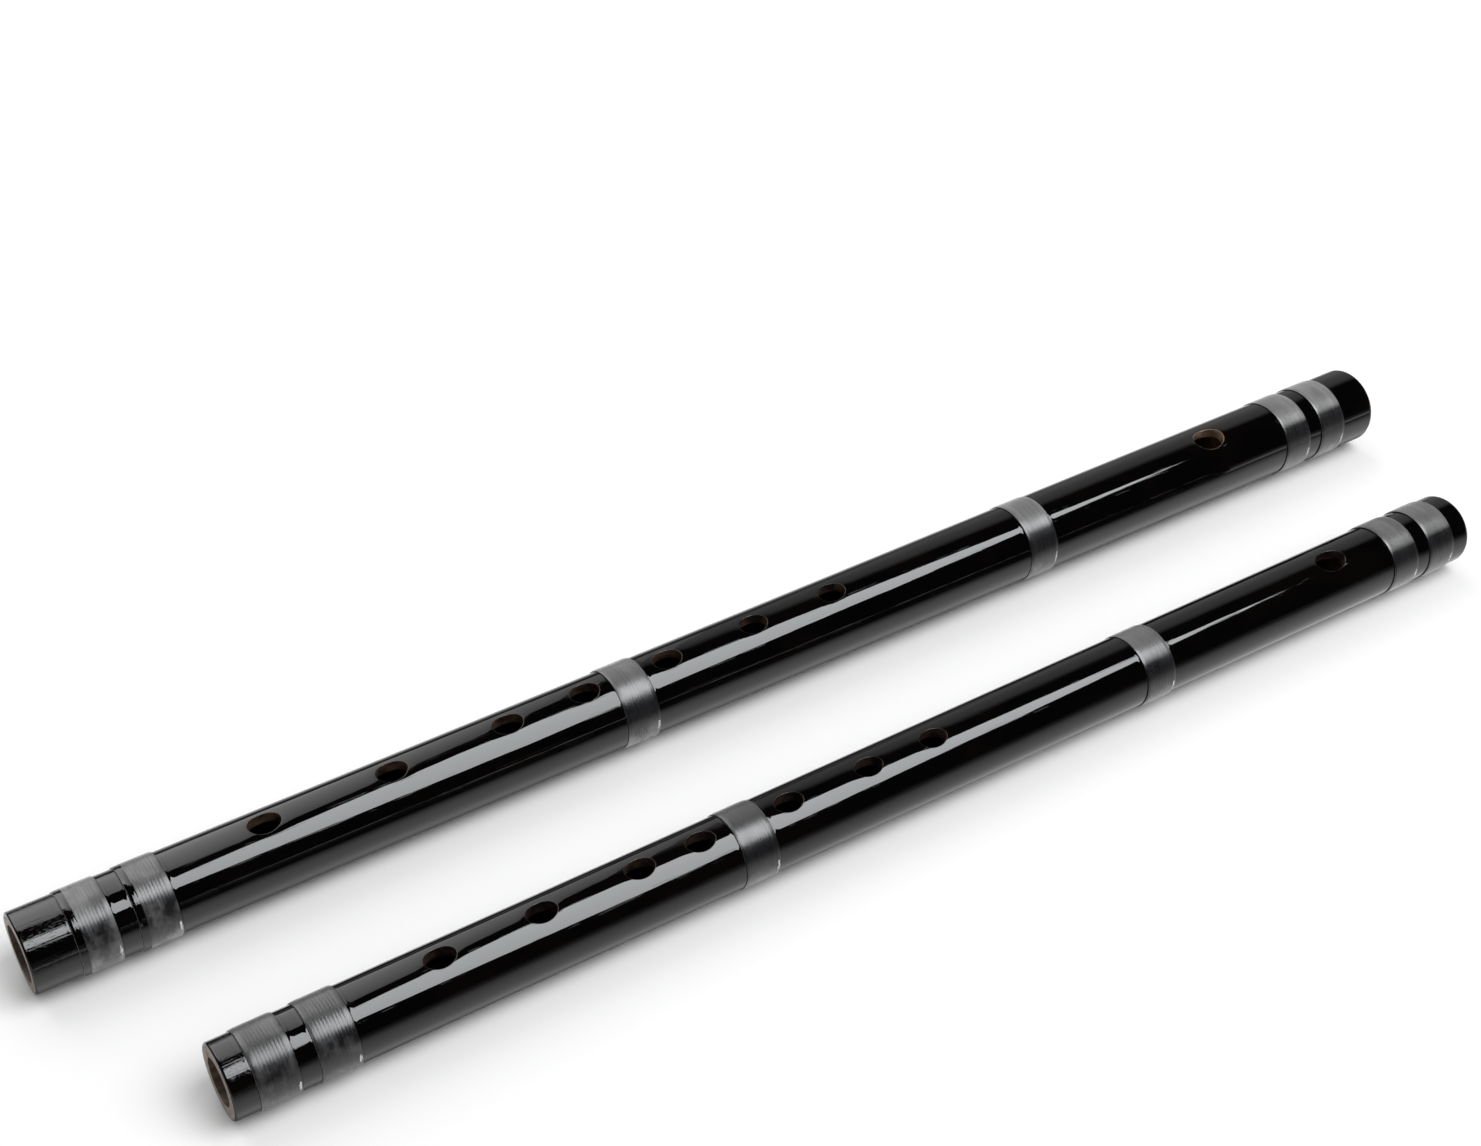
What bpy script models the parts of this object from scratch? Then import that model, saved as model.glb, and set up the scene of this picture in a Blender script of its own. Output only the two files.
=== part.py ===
"""A pair of lacquered shinobue, the side-blown bamboo flutes of Japan, lying side by side.

Blender 4.5, metres, +Z up. Run with: blender --background --python part.py

Each flute is a length of bamboo with an open foot, seven finger holes, one mouth hole,
six bindings that lie in scraped recesses, a wax stopper in the bore beyond the mouth hole
and a wooden plug that closes the head. Stations are distances from the foot end, measured
along the flute. The flutes point their heads along +X and rest on the plane z = 0.
"""

import math
from collections import namedtuple

import bmesh
import bpy
from mathutils import Matrix, Vector

MM = 0.001

# Gaps between pieces that touch on the real flute
BINDING_CLEARANCE = 0.3 * MM
STOPPER_CLEARANCE = 0.3 * MM
PLUG_CLEARANCE = 0.3 * MM

# Smoothness of the turned and cut shapes
ROUND_SEGMENTS = 36
HOLE_POINTS = 24
CORNER_STEPS = 3
SHARP_ANGLE = math.radians(35)

# How the bindings sit in the bamboo
RECESS_DEPTH = 0.7 * MM
BINDING_PROUD = 0.45 * MM
BINDING_EDGE = 0.25 * MM
BINDING_TURNS = 5
WINDING_POINTS = 24
THREAD_RELIEF = 0.2 * MM

# Edges of the holes
HOLE_FLARE_SLOPE = 2.2
HOLE_REACH = 3.0 * MM

# Shapes of the pieces in the bore
STOPPER_CHAMFER = 0.6 * MM
PLUG_FACE_SHARE = 0.7

# Where the short flute lies, measured from the foot end of the long one
SHORT_FLUTE_AHEAD = 21.5 * MM
FLUTE_SPACING = 54.6 * MM
SHORT_FLUTE_YAW = math.radians(-0.47)

Binding = namedtuple("Binding", "name start end")
Oval = namedtuple("Oval", "station length width flare")

Flute = namedtuple(
    "Flute",
    "name length foot_radius head_radius wall foot_edge head_edge "
    "binding_width foot_outer_from_foot foot_inner_from_foot middle_from_foot upper_from_foot "
    "head_inner_from_head head_outer_from_head "
    "finger_holes_from_foot finger_length finger_width finger_flare "
    "mouth_from_head mouth_length mouth_width mouth_flare turn_at_foot turn_at_mouth "
    "stopper_offset stopper_length plug_length plug_dome",
)

# Bindings and holes are placed by their middles
LONG_FLUTE = Flute(
    name="long",
    length=392.0 * MM,
    foot_radius=9.3 * MM,
    head_radius=10.5 * MM,
    wall=2.7 * MM,
    foot_edge=0.5 * MM,
    head_edge=1.6 * MM,
    binding_width=8.5 * MM,
    foot_outer_from_foot=14.6 * MM,
    foot_inner_from_foot=27.8 * MM,
    middle_from_foot=147.4 * MM,
    upper_from_foot=269.9 * MM,
    head_inner_from_head=29.8 * MM,
    head_outer_from_head=16.5 * MM,
    finger_holes_from_foot=[
        55.8 * MM, 86.4 * MM, 115.9 * MM, 136.2 * MM, 159.0 * MM, 183.7 * MM, 207.1 * MM,
    ],
    finger_length=7.6 * MM,
    finger_width=5.8 * MM,
    finger_flare=0.7 * MM,
    mouth_from_head=57.9 * MM,
    mouth_length=9.5 * MM,
    mouth_width=7.2 * MM,
    mouth_flare=0.5 * MM,
    turn_at_foot=math.radians(5.0),
    turn_at_mouth=math.radians(12.5),
    stopper_offset=1.5 * MM,
    stopper_length=18.0 * MM,
    plug_length=9.0 * MM,
    plug_dome=0.5 * MM,
)

SHORT_FLUTE = Flute(
    name="short",
    length=347.0 * MM,
    foot_radius=8.4 * MM,
    head_radius=9.25 * MM,
    wall=3.1 * MM,
    foot_edge=0.5 * MM,
    head_edge=1.6 * MM,
    binding_width=8.4 * MM,
    foot_outer_from_foot=9.7 * MM,
    foot_inner_from_foot=22.7 * MM,
    middle_from_foot=123.1 * MM,
    upper_from_foot=238.8 * MM,
    head_inner_from_head=23.9 * MM,
    head_outer_from_head=10.8 * MM,
    finger_holes_from_foot=[
        48.6 * MM, 72.2 * MM, 96.0 * MM, 111.3 * MM, 134.4 * MM, 156.1 * MM, 174.3 * MM,
    ],
    finger_length=7.2 * MM,
    finger_width=5.2 * MM,
    finger_flare=0.7 * MM,
    mouth_from_head=46.0 * MM,
    mouth_length=9.0 * MM,
    mouth_width=6.4 * MM,
    mouth_flare=0.5 * MM,
    turn_at_foot=math.radians(7.5),
    turn_at_mouth=math.radians(14.0),
    stopper_offset=1.5 * MM,
    stopper_length=16.0 * MM,
    plug_length=8.0 * MM,
    plug_dome=0.5 * MM,
)


def clear_scene():
    """Removes every object, so that a run starts from nothing."""
    for obj in list(bpy.data.objects):
        bpy.data.objects.remove(obj, do_unlink=True)


def finish(name, colour, roughness, metallic=0.0):
    """A material with one plain Principled BSDF."""
    material = bpy.data.materials.new(name)
    material.use_nodes = True
    shader = material.node_tree.nodes["Principled BSDF"]
    shader.inputs["Base Color"].default_value = (*colour, 1.0)
    shader.inputs["Roughness"].default_value = roughness
    shader.inputs["Metallic"].default_value = metallic
    return material


def mesh_object(name, bm, parent, material):
    """Turns a bmesh into a smooth-shaded object under its flute."""
    bmesh.ops.recalc_face_normals(bm, faces=bm.faces)
    mesh = bpy.data.meshes.new(name)
    bm.to_mesh(mesh)
    bm.free()
    mesh.shade_smooth()
    mesh.set_sharp_from_angle(angle=SHARP_ANGLE)
    obj = bpy.data.objects.new(name, mesh)
    bpy.context.scene.collection.objects.link(obj)
    obj.parent = parent
    if material:
        mesh.materials.append(material)
    return obj


def turned(outline):
    """Spins a closed outline of (station, radius) points about the X axis."""
    bm = bmesh.new()
    points = [bm.verts.new((station, 0.0, radius)) for station, radius in outline]
    rim = []
    for index, point in enumerate(points):
        following = points[(index + 1) % len(points)]
        on_axis = point.co.z == 0.0 and following.co.z == 0.0
        if not on_axis:
            rim.append(bm.edges.new((point, following)))
    bmesh.ops.spin(
        bm,
        geom=points + rim,
        cent=(0.0, 0.0, 0.0),
        axis=(1.0, 0.0, 0.0),
        angle=math.tau,
        steps=ROUND_SEGMENTS,
        use_merge=True,
    )
    bmesh.ops.remove_doubles(bm, verts=bm.verts, dist=0.001 * MM)
    return bm


def quarter_round(station, radius, size, start_angle):
    """Points of a rounded corner about a centre, a quarter turn clockwise from start_angle."""
    points = []
    for step in range(CORNER_STEPS + 1):
        angle = start_angle - step * (math.pi / 2) / CORNER_STEPS
        points.append((station + size * math.cos(angle), radius + size * math.sin(angle)))
    return points


def outer_radius(flute, station):
    """Radius of the lacquered bamboo, which tapers from the head to the foot."""
    share = station / flute.length
    return flute.foot_radius + (flute.head_radius - flute.foot_radius) * share


def bore_radius(flute, station):
    """Radius of the bore, which follows the culm at an even wall thickness."""
    return outer_radius(flute, station) - flute.wall


def binding_radius(flute, station):
    """Outer radius of a binding, which stands a little proud of the bamboo."""
    return outer_radius(flute, station) + BINDING_PROUD


def bindings(flute):
    """The six bindings of a flute, from foot to head, with the stations of their edges."""
    middles = {
        "foot_outer": flute.foot_outer_from_foot,
        "foot_inner": flute.foot_inner_from_foot,
        "middle": flute.middle_from_foot,
        "upper": flute.upper_from_foot,
        "head_inner": flute.length - flute.head_inner_from_head,
        "head_outer": flute.length - flute.head_outer_from_head,
    }
    half = flute.binding_width / 2
    return [Binding(name, middle - half, middle + half) for name, middle in middles.items()]


def mouth_station(flute):
    """Station of the middle of the mouth hole."""
    return flute.length - flute.mouth_from_head


def holes(flute):
    """The finger holes from the foot up, then the mouth hole."""
    ovals = []
    for station in flute.finger_holes_from_foot:
        ovals.append(Oval(station, flute.finger_length, flute.finger_width, flute.finger_flare))
    ovals.append(
        Oval(mouth_station(flute), flute.mouth_length, flute.mouth_width, flute.mouth_flare)
    )
    return ovals


def hole_turn(flute, station):
    """How far a hole at this station is turned about the flute, from straight up."""
    share = station / mouth_station(flute)
    return flute.turn_at_foot + (flute.turn_at_mouth - flute.turn_at_foot) * share


def tube_outline(flute):
    """Half section of the bamboo: outside from foot to head, then back along the bore."""
    foot_edge_radius = outer_radius(flute, 0.0) - flute.foot_edge
    outline = quarter_round(flute.foot_edge, foot_edge_radius, flute.foot_edge, math.pi)
    for binding in bindings(flute):
        start = binding.start - BINDING_CLEARANCE
        end = binding.end + BINDING_CLEARANCE
        outline.append((start, outer_radius(flute, start)))
        outline.append((start, outer_radius(flute, start) - RECESS_DEPTH))
        outline.append((end, outer_radius(flute, end) - RECESS_DEPTH))
        outline.append((end, outer_radius(flute, end)))
    head_edge_station = flute.length - flute.head_edge
    head_edge_radius = outer_radius(flute, head_edge_station) - flute.head_edge
    outline += quarter_round(head_edge_station, head_edge_radius, flute.head_edge, math.pi / 2)
    outline.append((flute.length, bore_radius(flute, flute.length)))
    outline.append((0.0, bore_radius(flute, 0.0)))
    return outline


def hole_cutter(flute, hole, cutter):
    """Adds one oval cutter: straight through the wall, flaring out to a dished rim."""
    surface = outer_radius(flute, hole.station)
    throat = surface - hole.flare / HOLE_FLARE_SLOPE
    levels = [
        (surface - flute.wall - HOLE_REACH, 0.0),
        (throat, 0.0),
        (surface, hole.flare),
        (surface + HOLE_REACH, hole.flare * (1.0 + HOLE_REACH * HOLE_FLARE_SLOPE / hole.flare)),
    ]
    turn = Matrix.Rotation(hole_turn(flute, hole.station), 4, "X")
    rings = []
    for height, grow in levels:
        ring = []
        for step in range(HOLE_POINTS):
            angle = math.tau * step / HOLE_POINTS
            along = hole.station + (hole.length / 2 + grow) * math.cos(angle)
            across = (hole.width / 2 + grow) * math.sin(angle)
            ring.append(cutter.verts.new(turn @ Vector((along, across, height))))
        rings.append(ring)
    cutter.faces.new(list(reversed(rings[0])))
    cutter.faces.new(rings[-1])
    for lower, upper in zip(rings, rings[1:]):
        for step in range(HOLE_POINTS):
            following = (step + 1) % HOLE_POINTS
            cutter.faces.new((lower[step], lower[following], upper[following], upper[step]))


def cut_holes(flute, tube, parent):
    """Cuts the finger holes and the mouth hole out of the bamboo."""
    cutter = bmesh.new()
    for hole in holes(flute):
        hole_cutter(flute, hole, cutter)
    guide = mesh_object(flute.name + "_hole_cutter", cutter, parent, None)
    guide.hide_render = True
    guide.display_type = "WIRE"
    cut = tube.modifiers.new("holes", "BOOLEAN")
    cut.operation = "DIFFERENCE"
    cut.solver = "EXACT"
    cut.object = guide


def least_gap(crest):
    """Least distance between points of the thread that are more than half a turn apart."""
    gap = math.inf
    for index, point in enumerate(crest):
        for other in crest[index + WINDING_POINTS // 2 + 1 :]:
            gap = min(gap, (other - point).length)
    return gap


def wound_binding(flute, binding):
    """A sleeve in its recess with one thread wound round it, turn against turn.

    The thread is a single ridge that climbs the sleeve as a helix. Points on the crest and in
    the valley beside it follow the same helix, half a pitch apart. The points straddle the
    lowest line, so that the flute lies on flats across the turns and not on a corner.
    """
    bm = bmesh.new()
    pitch = (binding.end - binding.start - 2 * BINDING_EDGE) / (BINDING_TURNS + 1)
    first = binding.start + BINDING_EDGE
    floor = RECESS_DEPTH - BINDING_CLEARANCE

    def point(step, station, radius):
        angle = math.tau * (step + 0.5) / WINDING_POINTS
        return bm.verts.new((station, -radius * math.sin(angle), radius * math.cos(angle)))

    def ring(station, radius):
        return [point(step, station, radius) for step in range(WINDING_POINTS)]

    def join(near, far):
        for step in range(len(near) - 1):
            bm.faces.new((near[step], near[step + 1], far[step + 1], far[step]))

    valley = []
    for step in range((BINDING_TURNS + 1) * WINDING_POINTS + 1):
        station = first + pitch * step / WINDING_POINTS
        valley.append(point(step, station, binding_radius(flute, station) - THREAD_RELIEF))
    crest = []
    for step in range(BINDING_TURNS * WINDING_POINTS + 1):
        station = first + pitch * (step / WINDING_POINTS + 0.5)
        crest.append(point(step, station, binding_radius(flute, station)))
    join(valley[: len(crest)], crest)
    join(crest, valley[WINDING_POINTS:])
    gap = least_gap([vert.co for vert in crest])
    print(f"{flute.name} {binding.name}: turns {gap / MM:.2f} mm apart, from crest to crest")

    inner_start = ring(binding.start, outer_radius(flute, binding.start) - floor)
    inner_end = ring(binding.end, outer_radius(flute, binding.end) - floor)
    edge_drop = THREAD_RELIEF + BINDING_EDGE
    outer_start = ring(binding.start, binding_radius(flute, binding.start) - edge_drop)
    outer_end = ring(binding.end, binding_radius(flute, binding.end) - edge_drop)
    first_turn = valley[: WINDING_POINTS + 1]
    last_turn = valley[-WINDING_POINTS - 1 :]
    join(outer_start, first_turn[:-1])
    join(last_turn[1:], outer_end[1:] + outer_end[:1])
    bm.faces.new((outer_start[-1], outer_start[0], first_turn[0], first_turn[-1], first_turn[-2]))
    bm.faces.new((outer_end[0], outer_end[1], last_turn[1], last_turn[0], last_turn[-1]))
    bm.faces.new((first_turn[0], crest[0], first_turn[-1]))
    bm.faces.new((last_turn[0], crest[-1], last_turn[-1]))
    join(inner_start + inner_start[:1], outer_start + outer_start[:1])
    join(outer_end + outer_end[:1], inner_end + inner_end[:1])
    join(inner_end + inner_end[:1], inner_start + inner_start[:1])
    return bm


def stopper_outline(flute):
    """Half section of the wax stopper, just beyond the mouth hole."""
    start = mouth_station(flute) + flute.mouth_length / 2 + flute.stopper_offset
    end = start + flute.stopper_length
    start_radius = bore_radius(flute, start) - STOPPER_CLEARANCE
    end_radius = bore_radius(flute, end) - STOPPER_CLEARANCE
    return [
        (start, 0.0),
        (start, start_radius - STOPPER_CHAMFER),
        (start + STOPPER_CHAMFER, start_radius),
        (end - STOPPER_CHAMFER, end_radius),
        (end, end_radius - STOPPER_CHAMFER),
        (end, 0.0),
    ]


def plug_outline(flute):
    """Half section of the wooden plug that closes the head, with a low crowned face."""
    start = flute.length - flute.plug_length
    start_radius = bore_radius(flute, start) - PLUG_CLEARANCE
    end_radius = bore_radius(flute, flute.length) - PLUG_CLEARANCE
    rim = flute.length - flute.plug_dome
    return [
        (start, 0.0),
        (start, start_radius),
        (rim, end_radius),
        (flute.length, end_radius * PLUG_FACE_SHARE),
        (flute.length, 0.0),
    ]


def flat_reach(flute, station):
    """Distance from the axis to the flats across the turns of a binding."""
    return binding_radius(flute, station) * math.cos(math.pi / WINDING_POINTS)


def resting_place(flute):
    """Height and pitch of the axis with every binding touching the surface below."""
    rise = flat_reach(flute, flute.length) - flat_reach(flute, 0.0)
    pitch = math.atan(rise / flute.length)
    return flat_reach(flute, 0.0) * math.cos(pitch), pitch


def build_flute(flute, foot_x, axis_y, yaw):
    """Makes one flute's pieces under an empty that lies at its foot, on its axis."""
    height, pitch = resting_place(flute)
    axis = bpy.data.objects.new(flute.name + "_axis", None)
    bpy.context.scene.collection.objects.link(axis)
    axis.matrix_world = (
        Matrix.Translation((foot_x, axis_y, height))
        @ Matrix.Rotation(yaw, 4, "Z")
        @ Matrix.Rotation(-pitch, 4, "Y")
    )
    lacquer = finish(flute.name + "_black_lacquer", (0.006, 0.006, 0.007), 0.06)
    thread = finish(flute.name + "_binding_thread", (0.055, 0.055, 0.06), 0.55)
    wax = finish(flute.name + "_wax", (0.30, 0.14, 0.05), 0.45)
    wood = finish(flute.name + "_plug_lacquer", (0.010, 0.009, 0.009), 0.12)

    tube = mesh_object(flute.name + "_tube", turned(tube_outline(flute)), axis, lacquer)
    cut_holes(flute, tube, axis)
    for binding in bindings(flute):
        name = f"{flute.name}_{binding.name}_binding"
        mesh_object(name, wound_binding(flute, binding), axis, thread)
    mesh_object(flute.name + "_bore_stopper", turned(stopper_outline(flute)), axis, wax)
    mesh_object(flute.name + "_head_plug", turned(plug_outline(flute)), axis, wood)


def widest_place(flute):
    """Station and reach of the widest turn, at the head end of the last binding."""
    station = bindings(flute)[-1].end - BINDING_EDGE
    return station, flat_reach(flute, station)


def build_pair():
    """Lays both flutes side by side, centred over the origin."""
    _, long_reach = widest_place(LONG_FLUTE)
    station, reach = widest_place(SHORT_FLUTE)
    short_reach = reach * math.cos(SHORT_FLUTE_YAW) - station * math.sin(SHORT_FLUTE_YAW)
    long_y = (FLUTE_SPACING + short_reach - long_reach) / 2
    long_x = -LONG_FLUTE.length / 2
    build_flute(LONG_FLUTE, long_x, long_y, 0.0)
    build_flute(SHORT_FLUTE, long_x + SHORT_FLUTE_AHEAD, long_y - FLUTE_SPACING, SHORT_FLUTE_YAW)


clear_scene()
build_pair()
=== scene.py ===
"""The look of two black lacquered shinobue on a white studio floor.

Each flute is one bamboo tube with dished oval holes, six wound bindings, a wax stopper and a
wooden plug. Stations are distances from the foot end, and angles start from straight up and
turn towards the player's side. The shapes are worked out in millimetres.

Black lacquer is a mirror, so the studio also holds a dim room and two soft faces that only the
gloss sees.
"""

import math

import bpy
from mathutils import Matrix, Vector, noise


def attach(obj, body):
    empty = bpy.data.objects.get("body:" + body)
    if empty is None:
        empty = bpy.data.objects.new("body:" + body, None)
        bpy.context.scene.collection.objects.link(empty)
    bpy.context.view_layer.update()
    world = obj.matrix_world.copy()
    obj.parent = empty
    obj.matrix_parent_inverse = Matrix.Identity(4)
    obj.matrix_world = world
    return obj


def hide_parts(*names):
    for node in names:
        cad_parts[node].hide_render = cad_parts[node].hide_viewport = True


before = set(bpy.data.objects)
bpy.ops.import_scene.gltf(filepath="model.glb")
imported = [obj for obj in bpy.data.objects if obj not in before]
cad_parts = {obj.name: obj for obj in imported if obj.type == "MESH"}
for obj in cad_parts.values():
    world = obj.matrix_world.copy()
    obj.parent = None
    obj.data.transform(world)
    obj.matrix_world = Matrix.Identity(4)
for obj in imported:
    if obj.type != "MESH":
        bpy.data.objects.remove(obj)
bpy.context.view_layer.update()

MM = 0.001

# Sizes that both flutes share, as the solids have them, in mm
CLEARANCE = 0.3
RECESS_DEPTH = 0.7
PROUD = 0.45
BINDING_EDGE = 0.25
FOOT_EDGE = 0.5
HEAD_EDGE = 1.6
STOPPER_OFFSET = 1.5
PLUG_DOME = 0.5
SEAT_FLATS = math.cos(math.pi / 24)
SHORT_AHEAD = 21.5
SPACING = 54.6
SHORT_YAW = math.radians(-0.47)

# Rings and sides of the finer meshes, in mm
SIDES = 96
STATION_STEP = 2.4
BEAD_STATIONS = (0.0, 0.04, 0.12, 0.25, 0.45, 0.75, 1.1, 1.6)
EDGE_RINGS = 8
SHARP_ANGLE = math.radians(38)

# A hole's dish, its small round lip and the wall below, in mm
DISH_AT_FOOT = 0.02
DISH_AT_MOUTH = 0.055
DISH_WIDTH = 3.0
LIP = 0.13
WORN_EDGE = 0.06
WALL_STEEPNESS = 20
HALVINGS = 18

# The patch of rings round a hole, from the outside in, in mm and in shares of the way
PATCH_STEP = 0.9
PATCH_MARGIN = 2.6
PATCH_BLENDS = (0.35, 0.7)
PATCH_EASE = 1.3
PATCH_OVALS = (PATCH_EASE, 1.0, 0.75, 0.5, 0.33, 0.2, LIP, 0.09, 0.05, 0.02, 0.0)
WALL_SHARES = (0.04, 0.35, 0.7, 1.0)

# The low bead of lacquer beside each binding, and the edges of recesses and rims, in mm
BEAD_HEIGHT = 0.015
BEAD_PLACE = 0.3
BEAD_WIDTH = 0.3
BEAD_REACH = 1.4
RECESS_LEAN = 0.03
RIM_CORNER = 0.3
RIM_CHAMFER = 0.12
SLIM_GAP = 0.05

# The wound thread, its relief and the way it drops at a binding's edges, in mm
THREAD_TURNS = 12
THREAD_STEPS = 7
THREAD_SIDES = 96
THREAD_DEPTH = 0.035
THREAD_SINK = 0.12
THREAD_SLACK = 0.012
THREAD_GAP = 0.14
CROWN_DROP = 0.10
CROWN_REACH = 0.7
COLLAR_SHARE = 0.19

# The small whitish patch low on the front by each binding's head-side edge: its middle and its half
# size
SPOT_FROM_EDGE = 0.55
SPOT_HALF_LENGTH = 0.36
SPOT_ANGLE = math.radians(98)
SPOT_HALF_ANGLE = 0.19

# Rounding of the stopper and the plug, in mm
STOPPER_CORNER = 0.6
STOPPER_HOLLOW = 0.35
PLUG_LEAD = 0.4
PLUG_LEAD_GAP = 0.35
DOME_INSET = 0.2
DOME_STEP = 0.12

# Material slots of a tube's mesh, and of a binding's
SKIN, PITH, RIM, FINGER_WALL, MOUTH_WALL = range(5)
THREAD, COLLAR, WHITE_SPOT = range(3)

# Lengths in mm, stations from the foot, and the turn of the first and last hole in degrees
LONG = dict(
    name="long", length=392.0, foot=9.3, head=10.5, wall=2.7, binding=8.5,
    bindings=(14.6, 27.8, 147.4, 269.9, 392.0 - 29.8, 392.0 - 16.5),
    holes=(55.8, 86.4, 115.9, 136.2, 159.0, 183.7, 207.1), finger=(7.6, 5.8),
    mouth=392.0 - 57.9, mouth_size=(9.5, 7.2), turn=(5.0, 12.5),
    stopper=18.0, plug=9.0, seed=3.0, collars=("foot_outer", "foot_inner"),
)
SHORT = dict(
    name="short", length=347.0, foot=8.4, head=9.25, wall=3.1, binding=8.4,
    bindings=(9.7, 22.7, 123.1, 238.8, 347.0 - 23.9, 347.0 - 10.8),
    holes=(48.6, 72.2, 96.0, 111.3, 134.4, 156.1, 174.3), finger=(7.2, 5.2),
    mouth=347.0 - 46.0, mouth_size=(9.0, 6.4), turn=(7.5, 14.0),
    stopper=16.0, plug=8.0, seed=11.0, collars=(),
)
BINDING_NAMES = ("foot_outer", "foot_inner", "middle", "upper", "head_inner", "head_outer")


def outer(f, s):
    return f["foot"] + (f["head"] - f["foot"]) * s / f["length"]


def bore(f, s):
    return outer(f, s) - f["wall"]


def holes(f):
    """Station, half length, half width and turn of every hole."""
    sizes = [(s, f["finger"]) for s in f["holes"]]
    sizes.append((f["mouth"], f["mouth_size"]))
    found = []
    for s, (length, width) in sizes:
        share = s / f["mouth"]
        turn = math.radians(f["turn"][0] + (f["turn"][1] - f["turn"][0]) * share)
        found.append((s, length / 2, width / 2, turn))
    return found


def recesses(f):
    """First and last station of each scraped recess."""
    half = f["binding"] / 2 + CLEARANCE
    return [(middle - half, middle + half) for middle in f["bindings"]]


# The skin of the tube

def unevenness(f, s, angle):
    """How far the bamboo's skin stands in or out from a true cone."""
    seed = f["seed"]
    # A slow oval that comes and goes, a faint three-sided swell and a fine ripple
    slow = 0.10 * math.cos(2 * angle + 1.3 + 0.8 * math.sin(s / 47.0 + seed))
    slow *= math.sin(s / 61.0 + seed) * 0.5 + 0.25
    third = 0.03 * math.cos(3 * angle + s / 55.0 + seed)
    cell = Vector((s / 22.0 + seed * 7.0, math.cos(angle) * 1.1, math.sin(angle) * 1.1))
    return slow + third + 0.022 * noise.noise(cell)


def bead(f, s):
    """Height of the lacquer that has gathered in a low bead beside each binding."""
    height = 0.0
    for low, high in recesses(f):
        away = max(low - s, s - high)
        if -0.01 <= away < BEAD_REACH:
            height = BEAD_HEIGHT * math.exp(-((away - BEAD_PLACE) / BEAD_WIDTH) ** 2)
    return height


def edge_distance(along, across, half_l, half_w):
    """How far the oval must grow to pass through a point, or None past the dish."""

    def outside(grow):
        return (along / (half_l + grow)) ** 2 + (across / (half_w + grow)) ** 2 > 1.0

    if outside(DISH_WIDTH):
        return None
    low = -LIP
    high = DISH_WIDTH
    for _ in range(HALVINGS):
        middle = (low + high) / 2
        if outside(middle):
            low = middle
        else:
            high = middle
    return (low + high) / 2


def hole_sink(f, s, angle):
    """How far the skin dips towards the nearest hole: a wide dish, then a small round lip."""
    for station, half_l, half_w, turn in f["hole_list"]:
        if abs(s - station) > half_l + DISH_WIDTH or math.cos(angle - turn) < 0:
            continue
        across = outer(f, station) * math.sin(angle - turn)
        grow = edge_distance(s - station, across, half_l, half_w)
        if grow is None:
            continue
        depth = DISH_AT_FOOT + (DISH_AT_MOUTH - DISH_AT_FOOT) * station / f["mouth"]
        sink = depth * (1 - max(grow, 0.0) / DISH_WIDTH) ** 3
        if grow < 0:
            return sink + LIP - WALL_STEEPNESS * grow
        if grow < LIP:
            return sink + LIP - math.sqrt(LIP ** 2 - (LIP - grow) ** 2)
        return sink
    return 0.0


def skin(f, s, angle):
    """Radius of the lacquered outside."""
    radius = outer(f, s) + unevenness(f, s, angle) + bead(f, s) - hole_sink(f, s, angle)
    for away, edge in ((s, FOOT_EDGE), (f["length"] - s, HEAD_EDGE)):
        if away < edge:
            radius -= edge - math.sqrt(max(0.0, edge ** 2 - (edge - away) ** 2))
    return radius


def skin_normal(f, s, angle):
    """Direction square to the skin, from its slopes along and round the tube."""
    step = 0.01
    low = max(0.0, s - step)
    high = min(f["length"], s + step)
    slope = (skin(f, high, angle) - skin(f, low, angle)) / (high - low)
    radius = skin(f, s, angle)
    turn = step / radius
    twist = (skin(f, s, angle + turn) - skin(f, s, angle - turn)) / (2 * step)
    radial = Vector((0.0, -math.sin(angle), math.cos(angle)))
    around = Vector((0.0, -math.cos(angle), -math.sin(angle)))
    return (radial - Vector((slope, 0.0, 0.0)) - around * twist).normalized()


# Building meshes ring by ring

class Shell:
    """A mesh made of bands between rings of points. Bands follow the outside of the section."""

    def __init__(self):
        self.points = []
        self.faces = []
        self.slots = []
        self.exact = []
        self.normals = {}

    def point(self, s, angle, radius, normal=None):
        self.points.append((s, -radius * math.sin(angle), radius * math.cos(angle)))
        if normal:
            self.normals[len(self.points) - 1] = normal
        return len(self.points) - 1

    def ring(self, s, radius, count):
        """A ring of points round the axis, or one point where the radius is nothing."""
        if radius < 1e-6:
            return [self.point(s, 0.0, 0.0)]
        return [self.point(s, math.tau * k / count, radius) for k in range(count)]

    def face(self, corners, slot, exact):
        self.faces.append(corners)
        self.slots.append(slot)
        self.exact.append(exact)

    def band(self, near, far, slot=0, exact=False):
        count = max(len(near), len(far))
        for k in range(count):
            n = (k + 1) % count
            if len(near) == 1:
                self.face((near[0], far[n], far[k]), slot, exact)
            elif len(far) == 1:
                self.face((near[k], near[n], far[0]), slot, exact)
            else:
                self.face((near[k], near[n], far[n], far[k]), slot, exact)

    def finish(self, name, materials, matrix):
        """Makes the object, with its place written into the mesh as the solids have it."""
        mesh = bpy.data.meshes.new(name)
        turn = matrix.to_3x3()
        mesh.from_pydata([matrix @ (Vector(p) * MM) for p in self.points], [], self.faces)
        for material in materials:
            mesh.materials.append(material)
        mesh.polygons.foreach_set("material_index", self.slots)
        mesh.update()
        mesh.shade_smooth()
        mesh.set_sharp_from_angle(angle=SHARP_ANGLE)
        if self.normals:
            corners = [Vector(corner.vector) for corner in mesh.corner_normals]
            for polygon, exact in zip(mesh.polygons, self.exact):
                if not exact:
                    continue
                for loop in polygon.loop_indices:
                    corners[loop] = turn @ self.normals[mesh.loops[loop].vertex_index]
            mesh.normals_split_custom_set(corners)
        obj = bpy.data.objects.new(name, mesh)
        bpy.context.scene.collection.objects.link(obj)
        return obj


# Where each flute lies

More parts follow.
